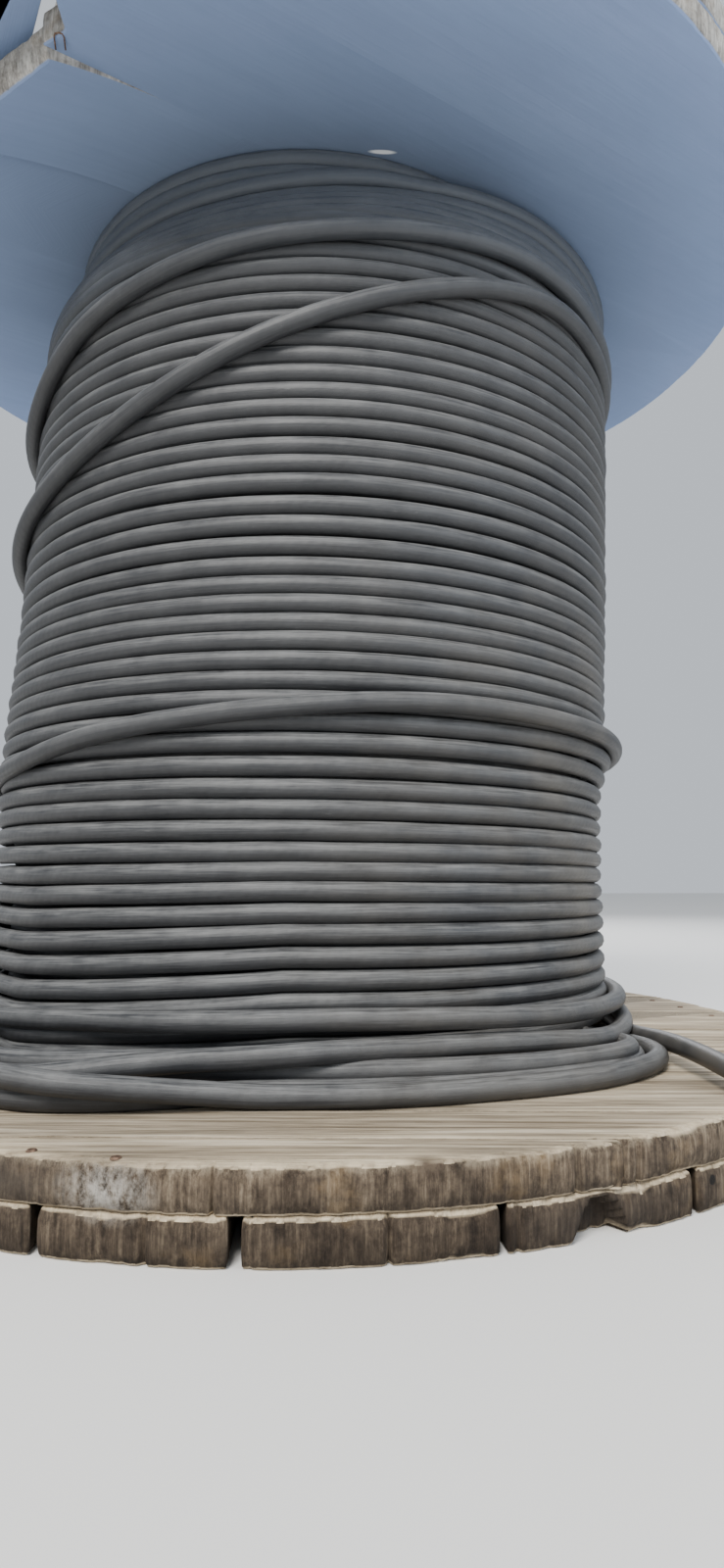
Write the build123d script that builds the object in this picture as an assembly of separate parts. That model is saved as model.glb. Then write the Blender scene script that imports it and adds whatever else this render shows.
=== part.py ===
from build123d import *
from math import cos, pi, radians, sin, tan
import os

os.makedirs("parts", exist_ok=True)

# A wooden cable drum standing on its lower flange, wound full with sheathed cable.
# Millimetres, +Z up along the spindle axis, origin at the centre of the lower flange's underside.

# Cable and the room it is wound in
cable_diameter = 23.0
cable_layers = 4
traverse = 1160.0
barrel_diameter = 706.0

# Flanges: two crosswise layers of sawn boards each
flange_diameter = 1400.0
board_thickness = 40.0

# Barrel: staves set in a groove of each flange
stave_thickness = 28.0
stave_gap = 2.0
stave_count = 20
stave_groove_depth = 12.0

# Steel: spindle bushes and the tie rods that clamp the flanges to the barrel
spindle_bore = 82.0
bush_wall = 5.0
rod_diameter = 16.0
rod_hole_diameter = 18.0
rod_circle_share = 0.3743
rod_count = 4
rod_first_angle = 82.0
rod_end_inset = 2.0
washer_side = 42.0
washer_hole = 17.0
washer_thickness = 4.0
nut_across_flats = 24.0
nut_height = 13.0
head_height = 10.0
recess_diameter = 64.0
recess_depth = 21.0

# Clearance between pieces that sit round or beside each other
seat_clearance = 0.3

# Each layer: its boards' direction, their widths as shares of the flange, and the open joints between them
lower_outer_layer = {
    "heading": -90.0,
    "shares": [155, 155, 165, 165, 216, 192, 182, 170],
    "joints": [5, 5, 6, 10, 5, 6, 6],
}
lower_inner_layer = {
    "heading": -4.0,
    "shares": [77, 91, 160, 150, 156, 176, 178, 172, 140, 100],
    "joints": [4, 5, 4, 4, 4, 4, 4, 4, 4],
}
upper_inner_layer = {
    "heading": 28.0,
    "shares": [164, 67, 175, 164, 190, 175, 165, 160, 140],
    "joints": [4, 4, 2, 4, 4, 4, 4, 4],
}
upper_outer_layer = {
    "heading": -62.0,
    "shares": [198, 162, 150, 130, 170, 160, 160, 145, 125],
    "joints": [20, 5, 5, 5, 5, 5, 5, 5],
}

# Damage: a bite out of the upper flange's rim and one inner board sprung down beside it
bite_heading = -121.0
inner_bite_depth = 112.0
outer_bite_depth = 95.0
bite_side = 282.0
sprung_board = 4
spring_start = 350.0
spring_radius = 830.0
spring_angle = 22.0

# Winding: sections up its height as level, radius and how far it leans to the right and to the back
body_sections = [
    (103, 446, 0, 0),
    (420, 446, 0, 0),
    (490, 457, 0, 0),
    (1190, 457, 25, 25),
]
head_radius = 433.0
head_lean = 15.0
head_room = 3.0

# The turns that have slumped onto the lower flange: their spread, and how far it is off the axis
slump_radius = 490.0
slump_centre = (-60.0, -55.0)

# Stray turns that lie over the winding: the azimuth where each starts, and its level at every step round
stray_clearance = 4.0
stray_step_angle = 12.0
crossing_turn = {
    "start_angle": -184.0,
    "levels": [752, 765, 778, 798, 823, 854, 893, 935, 974, 1007, 1038, 1060, 1059],
}
loose_turn = {
    "start_angle": -160.0,
    "levels": [960, 990, 1016, 1037, 1051, 1064, 1074, 1084, 1093, 1098, 1092],
}
middle_turn = {
    "start_angle": -165.0,
    "levels": [433, 437, 448, 460, 471, 481, 490, 498, 502, 502, 500, 496, 488],
}

# Cable tail: it leaves the lowest turn at the right and runs forward over the flange
tail_route = [
    (462.5, 20.0, 92.0),
    (452.0, -93.0, 92.0),
    (427.0, -205.0, 94.0),
    (444.0, -365.0, 108.0),
    (440.0, -505.0, 104.0),
]

flange_radius = flange_diameter / 2
barrel_radius = barrel_diameter / 2
cable_radius = cable_diameter / 2
rod_circle_radius = rod_circle_share * flange_radius
flange_thickness = 2 * board_thickness
lower_face = flange_thickness
upper_face = lower_face + traverse
drum_height = upper_face + flange_thickness
bush_radius = spindle_bore / 2 + bush_wall
stave_half_angle = radians(180 / stave_count)
stave_outer_flat = barrel_radius * cos(stave_half_angle)
stave_inner_flat = stave_outer_flat - stave_thickness


def cylinder_at(radius, bottom, height, x=0.0, y=0.0):
    """An upright cylinder that stands on the level called bottom."""
    standing = (Align.CENTER, Align.CENTER, Align.MIN)
    return Pos(x, y, bottom) * Cylinder(radius, height, align=standing)


def save(shape, name):
    """Write one sub-part under its own name."""
    shape.label = name
    export_step(shape, f"parts/{name}.step")


def rod_places():
    """The tie rods' places on their circle."""
    for index in range(rod_count):
        angle = radians(rod_first_angle + index * 360 / rod_count)
        yield rod_circle_radius * cos(angle), rod_circle_radius * sin(angle)


def board_edges(layer):
    """The two long edges of each board, measured across the flange, with its open joints."""
    joints = [0] + layer["joints"] + [0]
    offset = -flange_radius
    for index, share in enumerate(layer["shares"]):
        width = flange_diameter * share / sum(layer["shares"])
        yield offset + joints[index] / 2, offset + width - joints[index + 1] / 2
        offset += width


def straight_blank(low, high, bottom):
    """A straight board along X, longer than the flange, between its two edges."""
    width = high - low
    middle = low + width / 2
    centred = (Align.CENTER, Align.CENTER, Align.MIN)
    return Pos(0, middle, bottom) * Box(2 * flange_diameter, width, board_thickness, align=centred)


def sprung_blank(low, high, bottom):
    """A board along X whose near end has sprung off its nails and bends down."""
    top = bottom + board_thickness
    level = top - spring_radius

    def bend_point(radius, angle):
        return -spring_start - radius * sin(radians(angle)), level + radius * cos(radians(angle))

    under_radius = spring_radius - board_thickness
    outline = [
        Line((-spring_start, bottom), (flange_radius, bottom)),
        Line((flange_radius, bottom), (flange_radius, top)),
        Line((flange_radius, top), (-spring_start, top)),
        ThreePointArc(
            (-spring_start, top),
            bend_point(spring_radius, spring_angle / 2),
            bend_point(spring_radius, spring_angle),
        ),
        Line(bend_point(spring_radius, spring_angle), bend_point(under_radius, spring_angle)),
        ThreePointArc(
            bend_point(under_radius, spring_angle),
            bend_point(under_radius, spring_angle / 2),
            (-spring_start, bottom),
        ),
    ]
    side = Plane((0, high, 0), x_dir=(1, 0, 0), z_dir=(0, -1, 0)) * make_face(outline)
    return extrude(side, high - low)


def layer_boards(layer, bottom, sprung=None):
    """The boards of one flange layer, cut round to the rim."""
    reach = spring_radius if sprung else 0
    disc = cylinder_at(flange_radius, bottom - reach, board_thickness + reach)
    boards = []
    for index, (low, high) in enumerate(board_edges(layer)):
        blank = straight_blank(low, high, bottom)
        if index + 1 == sprung:
            blank = sprung_blank(low, high, bottom)
        boards.append((Rot(0, 0, layer["heading"]) * blank & disc).solids()[0])
    return boards


def flange_holes(low):
    """The spindle and tie rod holes through a flange whose lowest level is low."""
    holes = [cylinder_at(bush_radius + seat_clearance, low, flange_thickness)]
    for x, y in rod_places():
        holes.append(cylinder_at(rod_hole_diameter / 2, low, flange_thickness, x, y))
    return holes


def stave_groove(bottom):
    """The round groove in a flange's inner face that the staves stand in."""
    ring = cylinder_at(barrel_radius + seat_clearance, bottom, stave_groove_depth)
    return ring - cylinder_at(stave_inner_flat - seat_clearance, bottom, stave_groove_depth)


def rim_bite(depth):
    """What is broken off one layer of the upper flange's rim."""
    block = Box(flange_diameter, 2 * flange_diameter, flange_radius)
    beyond_break = Rot(0, 0, bite_heading) * Pos(flange_diameter - depth, 0, upper_face) * block
    left_side = Pos(-bite_side - flange_radius, 0, upper_face) * block
    return beyond_break & left_side


def cut_all(boards, tools):
    """Take the tools out of every board that they reach, and keep the largest piece that is left."""
    result = []
    for board in boards:
        for tool in tools:
            if tool.bounding_box().overlaps(board.bounding_box()):
                board = max((board - tool).solids(), key=lambda piece: piece.volume)
        result.append(board)
    return result


def make_flange(name, inner, inner_bottom, outer, outer_bottom):
    """Both board layers of one flange, each board its own piece."""
    upper = outer_bottom > inner_bottom
    holes = flange_holes(min(inner_bottom, outer_bottom))
    recess_bottom = outer_bottom + board_thickness - recess_depth if upper else outer_bottom
    recesses = [cylinder_at(recess_diameter / 2, recess_bottom, recess_depth, x, y) for x, y in rod_places()]
    groove_bottom = inner_bottom if upper else inner_bottom + board_thickness - stave_groove_depth
    inner_damage = [rim_bite(inner_bite_depth)] if upper else []
    outer_damage = [rim_bite(outer_bite_depth)] if upper else []
    inner_boards = layer_boards(inner, inner_bottom, sprung_board if upper else None)
    inner_boards = cut_all(inner_boards, holes + [stave_groove(groove_bottom)] + inner_damage)
    outer_boards = cut_all(layer_boards(outer, outer_bottom), holes + recesses + outer_damage)
    for index, board in enumerate(inner_boards):
        save(board, f"{name}_inner_board_{index + 1}")
    for index, board in enumerate(outer_boards):
        save(board, f"{name}_outer_board_{index + 1}")


def make_staves():
    """The barrel's lagging: flat staves side by side in a ring, standing in the flange grooves."""
    bottom = lower_face - stave_groove_depth
    height = traverse + 2 * stave_groove_depth
    outer_half = stave_outer_flat * tan(stave_half_angle) - stave_gap / 2
    inner_half = stave_inner_flat * tan(stave_half_angle) - stave_gap / 2
    corners = [
        (stave_inner_flat, -inner_half),
        (stave_outer_flat, -outer_half),
        (stave_outer_flat, outer_half),
        (stave_inner_flat, inner_half),
    ]
    stave = Pos(0, 0, bottom) * extrude(Polygon(*corners, align=None), height)
    staves = [Rot(0, 0, index * 360 / stave_count) * stave for index in range(stave_count)]
    save(Compound(children=staves), "barrel_staves")


def make_bush(name, bottom):
    """One flange's steel spindle bush: a length of pipe through it."""
    bush = cylinder_at(bush_radius, bottom, flange_thickness)
    save(bush - cylinder_at(spindle_bore / 2, bottom, flange_thickness), name)


def make_tie_rods():
    """The headed tie rods, with square washers and nuts, sunk below the flanges' outer faces."""
    rods, washers, nuts = [], [], []
    corner_radius = nut_across_flats / 2 / cos(radians(30))
    bore_radius = rod_diameter / 2 + seat_clearance
    standing = (Align.CENTER, Align.CENTER, Align.MIN)
    lower_washer = recess_depth - washer_thickness
    upper_washer = drum_height - recess_depth
    nut_bottom = lower_washer - nut_height
    head_bottom = upper_washer + washer_thickness
    for x, y in rod_places():
        rod = cylinder_at(rod_diameter / 2, rod_end_inset, head_bottom - rod_end_inset, x, y)
        rods.append(rod + Pos(x, y, head_bottom) * extrude(RegularPolygon(corner_radius, 6), head_height))
        for level in (lower_washer, upper_washer):
            washer = Pos(x, y, level) * Box(washer_side, washer_side, washer_thickness, align=standing)
            hole = Pos(x, y, level) * Box(washer_hole, washer_hole, washer_thickness, align=standing)
            washers.append(washer - hole)
        nut = Pos(x, y, nut_bottom) * extrude(RegularPolygon(corner_radius, 6), nut_height)
        nuts.append(nut - cylinder_at(bore_radius, nut_bottom, nut_height, x, y))
    save(Compound(children=rods), "tie_rods")
    save(Compound(children=washers), "tie_rod_washers")
    save(Compound(children=nuts), "tie_rod_nuts")


def make_winding():
    """The wound cable: one round solid with its bore, leaning and slumped as it stands on its end."""
    foot_top = body_sections[0][0]
    winding = cylinder_at(slump_radius, lower_face, foot_top - lower_face, *slump_centre)
    winding += cylinder_at(body_sections[0][1], lower_face, foot_top - lower_face)
    for lower, upper in zip(body_sections, body_sections[1:]):
        rings = [Pos(right, back, level) * Circle(radius) for level, radius, right, back in (lower, upper)]
        winding += loft(rings, ruled=True)
    head_bottom = body_sections[-1][0]
    head_height_left = upper_face - head_room - head_bottom
    winding += cylinder_at(head_radius, head_bottom, head_height_left, head_lean, head_lean)
    winding -= cylinder_at(barrel_radius + seat_clearance, lower_face, traverse)
    save(winding, "cable_winding")


def at_level(level, column):
    """Read a column of the winding's sections at a level, straight between two of them."""
    for lower, upper in zip(body_sections, body_sections[1:]):
        if lower[0] <= level <= upper[0]:
            share = (level - lower[0]) / (upper[0] - lower[0])
            return lower[column] + share * (upper[column] - lower[column])
    return body_sections[-1][column]


def stray_turn(turn):
    """A turn that lies over the others, plain eight-sided, a hair clear of the winding."""
    sections = []
    for index, level in enumerate(turn["levels"]):
        angle = radians(turn["start_angle"] + index * stray_step_angle)
        outward = Vector(cos(angle), sin(angle), 0)
        reach = at_level(level, 1) + cable_radius + stray_clearance
        centre = Vector(at_level(level, 2), at_level(level, 3), level) + outward * reach
        plane = Plane(centre, x_dir=outward, z_dir=(-sin(angle), cos(angle), 0))
        sections.append(plane * RegularPolygon(cable_radius, 8, major_radius=False))
    return loft(sections, ruled=True)


def make_strays():
    """The three turns that have slipped across the rest."""
    turns = [stray_turn(turn) for turn in (crossing_turn, loose_turn, middle_turn)]
    save(Compound(children=turns), "stray_turns")


def corner_radii(route):
    """Bend radii that fill each corner of a route as far as its shorter run allows."""
    points = [Vector(*point) for point in route]
    radii = []
    for before, corner, after in zip(points, points[1:], points[2:]):
        runs = (corner - before).length, (after - corner).length
        turn = radians((corner - before).get_angle(after - corner))
        radii.append(0.45 * min(runs) / tan(turn / 2))
    return radii


def make_tail():
    """The cable's free end, one round tube along its route."""
    radii = corner_radii(tail_route)
    print("tail bend radii", [round(radius) for radius in radii])
    path = FilletPolyline(*tail_route, radius=radii)
    tail = sweep(Plane(path @ 0, z_dir=path % 0) * Circle(cable_radius), path=path)
    section = pi * cable_radius ** 2
    print("tail length", round(path.length), "volume over section", round(tail.volume / section))
    save(tail, "cable_tail")


make_flange("lower", lower_inner_layer, board_thickness, lower_outer_layer, 0.0)
make_flange("upper", upper_inner_layer, upper_face, upper_outer_layer, upper_face + board_thickness)
make_staves()
make_bush("lower_spindle_bush", 0.0)
make_bush("upper_spindle_bush", upper_face)
make_tie_rods()
make_winding()
make_strays()
make_tail()
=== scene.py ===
import math

import bmesh
import bpy
import numpy as np
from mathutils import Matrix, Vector


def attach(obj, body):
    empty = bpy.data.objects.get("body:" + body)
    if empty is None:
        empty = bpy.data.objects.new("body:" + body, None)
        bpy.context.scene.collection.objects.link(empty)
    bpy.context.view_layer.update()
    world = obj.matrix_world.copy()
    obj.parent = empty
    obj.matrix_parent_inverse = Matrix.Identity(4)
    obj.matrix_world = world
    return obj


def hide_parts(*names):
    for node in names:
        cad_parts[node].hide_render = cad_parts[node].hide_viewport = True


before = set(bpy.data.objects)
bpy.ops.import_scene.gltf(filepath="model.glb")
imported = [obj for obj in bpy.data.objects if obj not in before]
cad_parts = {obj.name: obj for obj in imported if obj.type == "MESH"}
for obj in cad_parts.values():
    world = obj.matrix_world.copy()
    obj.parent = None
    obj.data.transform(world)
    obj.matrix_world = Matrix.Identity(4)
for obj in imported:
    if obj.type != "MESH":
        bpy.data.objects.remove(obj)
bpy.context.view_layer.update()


def new_object(name, data):
    """An object of the scene that holds a mesh, a curve, a light or a camera."""
    thing = bpy.data.objects.new(name, data)
    bpy.context.scene.collection.objects.link(thing)
    return thing


# Studio and camera
# The camera stands close to the drum, a little above its foot, and looks up past the winding
# at the underside of the upper flange. Lens and place come from the fitted view.
LENS = 905.28 / 1600 * 36
camera_data = bpy.data.cameras.new("camera")
camera_data.sensor_width = 36
camera_data.lens = LENS
camera_data.clip_start = 0.02
camera = new_object("camera", camera_data)
camera.location = (-0.0013, -1.4264, 0.3072)
camera.rotation_euler = (math.radians(90 + 5.896), 0, math.radians(-3.24))
bpy.context.scene.camera = camera

floor_mesh = bpy.data.meshes.new("floor")
floor_mesh.from_pydata([(-9, -9, 0), (9, -9, 0), (9, 14, 0), (-9, 14, 0)], [], [(0, 1, 2, 3)])
floor = new_object("floor", floor_mesh)
floor_paint = bpy.data.materials.new("pale_floor")
floor_paint.use_nodes = True
floor_paint.node_tree.nodes["Principled BSDF"].inputs["Base Color"].default_value = (0.72, 0.71, 0.69, 1)
floor_paint.node_tree.nodes["Principled BSDF"].inputs["Roughness"].default_value = 0.9
floor_mesh.materials.append(floor_paint)

sky = bpy.data.worlds.new("studio")
sky.use_nodes = True
sky.node_tree.nodes["Background"].inputs["Color"].default_value = (0.86, 0.92, 1.0, 1)
sky.node_tree.nodes["Background"].inputs["Strength"].default_value = 0.75
bpy.context.scene.world = sky


def soft_light(name, place, aim, size, power, colour):
    data = bpy.data.lights.new(name, "AREA")
    data.shape = "DISK"
    data.size = size
    data.energy = power
    data.color = colour
    lamp = new_object(name, data)
    lamp.location = place
    lamp.rotation_euler = (Vector(aim) - Vector(place)).to_track_quat("-Z", "Y").to_euler()


soft_light("key", (-1.4, -4.6, 4.6), (0, -0.4, 0.4), 2.4, 620, (1.0, 0.98, 0.94))
soft_light("fill", (3.6, -3.0, 1.8), (0, 0, 0.6), 3.0, 110, (0.85, 0.92, 1.0))
soft_light("back", (0.5, 4.2, 3.2), (0, 0, 0.8), 3.0, 220, (0.95, 0.97, 1.0))


# Flange boards
# Each flange is two layers of sawn softwood boards laid crosswise and nailed together, then
# cut round. The ends show at the rim: end grain, chipped edges, rounded corners and joints
# that have opened as the wood dried.
FLANGE_RADIUS = 0.700
RADIUS_MM = 700
BOARD_THICKNESS = 0.040
# Each layer: the direction its boards run, its level, their widths in mm and the joints between them
LAYERS = {
    "lower_outer": (-90, 0.0, [155, 155, 165, 165, 216, 192, 182, 170], [5, 5, 6, 10, 5, 6, 6]),
    "lower_inner": (-4, 0.040, [77, 91, 160, 150, 156, 176, 178, 172, 140, 100],
                    [4, 5, 4, 4, 4, 4, 4, 4, 4]),
    "upper_inner": (28, 1.240, [164, 67, 175, 164, 190, 175, 165, 160, 140], [4, 4, 2, 4, 4, 4, 4, 4]),
    "upper_outer": (-62, 1.280, [198, 162, 150, 130, 170, 160, 160, 145, 125],
                    [20, 5, 5, 5, 5, 5, 5, 5]),
}
# In this layer the joints have stayed shut and hardly show
TIGHT_LAYER = "upper_inner"
EDGE_SOFTNESS = {"lower_outer": 0.55, "lower_inner": 0.45, "upper_inner": 0.0, "upper_outer": 0.3}
# A board's edge from the underside to the top: level, inset in mm, and how much wear moves it
EDGE_RINGS = [(0.0, 7.0, 1.0), (0.0010, 3.0, 1.3), (0.0035, 1.0, 1.2), (0.010, 0.2, 0.8),
              (0.017, 0.0, 0.7), (0.024, 0.0, 0.7), (0.031, 0.2, 0.8), (0.0365, 1.0, 1.2),
              (0.0390, 3.0, 1.3), (0.0400, 7.0, 1.0)]
UPPER_EDGE = 0.036
# Splits in the rim, at azimuths in degrees, and the broken edge: azimuth, half width and height
RIM_SPLITS = {"lower_inner": [-71.3, -65.9, -96.5, -118.0, -40.0, 20.0, 75.0, 131.0, 170.0],
              "lower_outer": [-84.9, -76.0, -101.0, -60.5, 10.0, 60.0, 118.0, 160.0, -140.0]}
SPLIT_WIDTH = 0.16
SPLIT_DEPTH = 0.007
BROKEN_EDGE = (-69.4, 1.9, 0.034)
BROKEN_DEPTH = 0.020
TORN_DEPTH = 0.009
NIBBLED_DEPTH = 0.0035
SAWN_ROUGHNESS = 0.0012
# The straight break across the upper flange's rim, and the board that has sprung beside it
BREAK_NORMAL = (math.cos(math.radians(-121)), math.sin(math.radians(-121)))
BREAK_DISTANCES = {"upper_inner": 0.588, "upper_outer": 0.605}
BREAK_SIDE = -0.282
SPRUNG_BOARD = "upper_inner_board_4"
SPRING_START = 0.350
SPRING_RADIUS = 0.830
SPRING_STRIPS = 60
STRIP_WIDTH = 0.0045


def board_end(offset, along, across, side, layer):
    """How far a board reaches from the flange's middle line before it meets the rim or the break."""
    distance = math.sqrt(max(FLANGE_RADIUS ** 2 - offset ** 2, 0))
    while layer in BREAK_DISTANCES and distance > 0:
        x = across[0] * offset + side * along[0] * distance
        y = across[1] * offset + side * along[1] * distance
        if x > BREAK_SIDE or x * BREAK_NORMAL[0] + y * BREAK_NORMAL[1] < BREAK_DISTANCES[layer]:
            break
        distance -= 0.001
    return side * distance


def board_outline(low, high, along, across, layer):
    """The board's plan in its own directions: points (along, across) in order, and which lie on the rim."""
    start_turn, stop_turn = [math.asin(max(-1, min(1, value / FLANGE_RADIUS))) for value in (low, high)]
    count = max(3, int((stop_turn - start_turn) / math.radians(0.25)))
    offsets = [FLANGE_RADIUS * math.sin(start_turn + (stop_turn - start_turn) * i / count)
               for i in range(count + 1)]
    far = [(board_end(o, along, across, 1, layer), o, 1.0) for o in offsets]
    near = [(board_end(o, along, across, -1, layer), o, 1.0) for o in reversed(offsets)]
    outline = list(far)
    for start, stop in ((far[-1], near[0]), (near[-1], far[0])):
        if start is near[-1]:
            outline += near
        length = abs(start[0] - stop[0])
        corner = [0.004, 0.009, 0.016] if length > 0.06 else []
        inner = max(1, int((length - 0.04) / 0.016))
        runs = corner + [0.024 + (length - 0.048) * i / inner for i in range(inner + 1)] + \
            [length - place for place in reversed(corner)]
        for run in runs if corner else [length / 2] if length > 0.004 else []:
            outline.append((start[0] + (stop[0] - start[0]) * run / length, start[1], 0.0))
    return outline


def smooth_noise(values, seed):
    """Layered sine noise along a line, between about -1 and 1, the same on every run."""
    rng = np.random.default_rng(seed)
    total = np.zeros_like(values)
    for octave in range(5):
        frequency = 9 * 1.9 ** octave
        total += np.sin(values * frequency + rng.uniform(0, 6.28)) / 1.5 ** octave
        total += np.sin(values * frequency * 1.37 + rng.uniform(0, 6.28)) / 1.5 ** octave
    return total / 4.0


def board_rings(layer, low, high, along, across, seed):
    """The worn edge of a board, ring by ring from its underside to its top, in its own directions."""
    outline = np.array(board_outline(low, high, along, across, layer))
    points, rim = outline[:, :2], outline[:, 2]
    straight = np.flatnonzero(rim == 0)
    sides = [side for side in np.split(straight, np.flatnonzero(np.diff(straight) > 1) + 1) if len(side)]
    for _ in range(6 if layer == "lower_outer" else 1):
        points = points * 0.5 + (np.roll(points, 1, 0) + np.roll(points, -1, 0)) * 0.25
    tangent = np.roll(points, -1, 0) - np.roll(points, 1, 0)
    normal = np.stack([tangent[:, 1], -tangent[:, 0]], 1)
    normal /= np.linalg.norm(normal, axis=1)[:, None] + 1e-12
    run = np.concatenate([[0], np.cumsum(np.linalg.norm(np.diff(points, axis=0), axis=1))])
    rim = (rim + np.roll(rim, 1) + np.roll(rim, -1)) / 3
    at_rim = rim > 0.9
    sharpness = 1.0 if layer.startswith("lower") else 0.45
    softness = EDGE_SOFTNESS[layer]
    plan = points[:, :1] * np.array([along]) + points[:, 1:] * np.array([across])
    azimuth = np.degrees(np.arctan2(plan[:, 1], plan[:, 0]))
    splits = np.zeros(len(points))
    for place in RIM_SPLITS.get(layer, []):
        splits = np.maximum(splits, np.exp(-((azimuth - place) / SPLIT_WIDTH) ** 2) * at_rim)
    broken = np.zeros(len(points))
    if layer == "lower_outer":
        centre, half_width, height = BROKEN_EDGE
        broken = height * np.exp(-((azimuth - centre) / half_width) ** 4) * at_rim
    nibbled = np.clip(smooth_noise(run * 14 + 5, seed + 2) - 0.1, 0, 1)
    torn = np.clip(smooth_noise(run * 2.3 + 3, seed + 1) - 0.2, 0, 1)
    rings = []
    for number, (level, inset, wear) in enumerate(EDGE_RINGS):
        rough = smooth_noise(run * 9 + number * 0.35, seed) * SAWN_ROUGHNESS * wear
        chips = (torn * TORN_DEPTH + nibbled * NIBBLED_DEPTH) * (wear - 0.65)
        chips *= np.where(rim > 0.3, 1.0, softness)
        depth = inset / 1000 * (softness + (1.15 - softness) * rim) + chips
        depth += np.where(rim > 0.3, 1.0, 0.35 * softness) * np.abs(rough) + splits * SPLIT_DEPTH
        depth += np.where(level < broken, BROKEN_DEPTH + 0.006 * nibbled, 0)
        place = points - normal * depth[:, None] * sharpness
        place[:, 1] = np.clip(place[:, 1], low, high)
        # The points of a straight side stay between its corners, and the corners in line with it
        for side in sides:
            first, last = side[0] - 1, (side[-1] + 1) % len(points)
            if len(side) > 4:
                place[[first, side[0]], 1] = place[side[1], 1]
                place[[last, side[-1]], 1] = place[side[-2], 1]
            share = (points[side, 0] - points[first, 0]) / (points[last, 0] - points[first, 0])
            place[side, 0] = place[first, 0] + share * (place[last, 0] - place[first, 0])
        drop = chips * 0.55 * sharpness if level > UPPER_EDGE else np.zeros(len(points))
        rings.append(np.column_stack([place, level - drop]))
    return rings


def board_mesh(name, layer, index, seed):
    """One board as a closed mesh, with attributes for its grain and its own tone."""
    heading, bottom, widths, joints = LAYERS[layer]
    heading = math.radians(heading)
    along = (math.cos(heading), math.sin(heading))
    across = (-math.sin(heading), math.cos(heading))
    gaps = [0] * (len(joints) + 2) if layer == TIGHT_LAYER else [0] + joints + [0]
    low = (sum(widths[:index]) - RADIUS_MM + gaps[index] / 2) / 1000
    high = (sum(widths[:index + 1]) - RADIUS_MM - gaps[index + 1] / 2) / 1000
    rings = board_rings(layer, low, high, along, across, seed)
    count = len(rings[0])
    mesh = bmesh.new()
    made = [mesh.verts.new(v) for ring in rings for v in ring]
    for ring in range(len(rings) - 1):
        for i in range(count):
            j = (i + 1) % count
            a, b = ring * count, (ring + 1) * count
            mesh.faces.new((made[a + i], made[a + j], made[b + j], made[b + i]))
    mesh.faces.new(list(reversed(made[:count])))
    mesh.faces.new(made[-count:])
    if name == SPRUNG_BOARD:
        for strip in range(SPRING_STRIPS):
            cut = -SPRING_START - strip * STRIP_WIDTH
            geometry = mesh.verts[:] + mesh.edges[:] + mesh.faces[:]
            bmesh.ops.bisect_plane(mesh, geom=geometry, plane_co=(cut, 0, 0), plane_no=(1, 0, 0))
    data = bpy.data.meshes.new(name)
    mesh.to_mesh(data)
    mesh.free()
    coordinates = np.zeros(len(data.vertices) * 3)
    data.vertices.foreach_get("co", coordinates)
    coordinates = coordinates.reshape(-1, 3)
    grain = coordinates.copy()
    grain[:, 0] += seed * 1.7
    grain[:, 1] += seed * 0.61
    if name == SPRUNG_BOARD:
        beyond = np.clip(-SPRING_START - coordinates[:, 0], 0, None)
        angle = beyond / SPRING_RADIUS
        radius = SPRING_RADIUS - BOARD_THICKNESS + coordinates[:, 2]
        bent = beyond > 0
        coordinates[bent, 0] = -SPRING_START - (radius * np.sin(angle))[bent]
        coordinates[bent, 2] = (radius * np.cos(angle) - SPRING_RADIUS + BOARD_THICKNESS)[bent]
    placed = np.stack([
        along[0] * coordinates[:, 0] + across[0] * coordinates[:, 1],
        along[1] * coordinates[:, 0] + across[1] * coordinates[:, 1],
        coordinates[:, 2] + bottom], 1)
    data.vertices.foreach_set("co", placed.astype(np.float32).ravel())
    attribute = data.attributes.new("grain", "FLOAT_VECTOR", "POINT")
    attribute.data.foreach_set("vector", grain.astype(np.float32).ravel())
    tone = data.attributes.new("board_tone", "FLOAT", "POINT")
    shade = np.random.default_rng(seed + 40).uniform(0, 1)
    tone.data.foreach_set("value", np.full(len(data.vertices), shade, np.float32))
    data.update()
    return data


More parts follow.
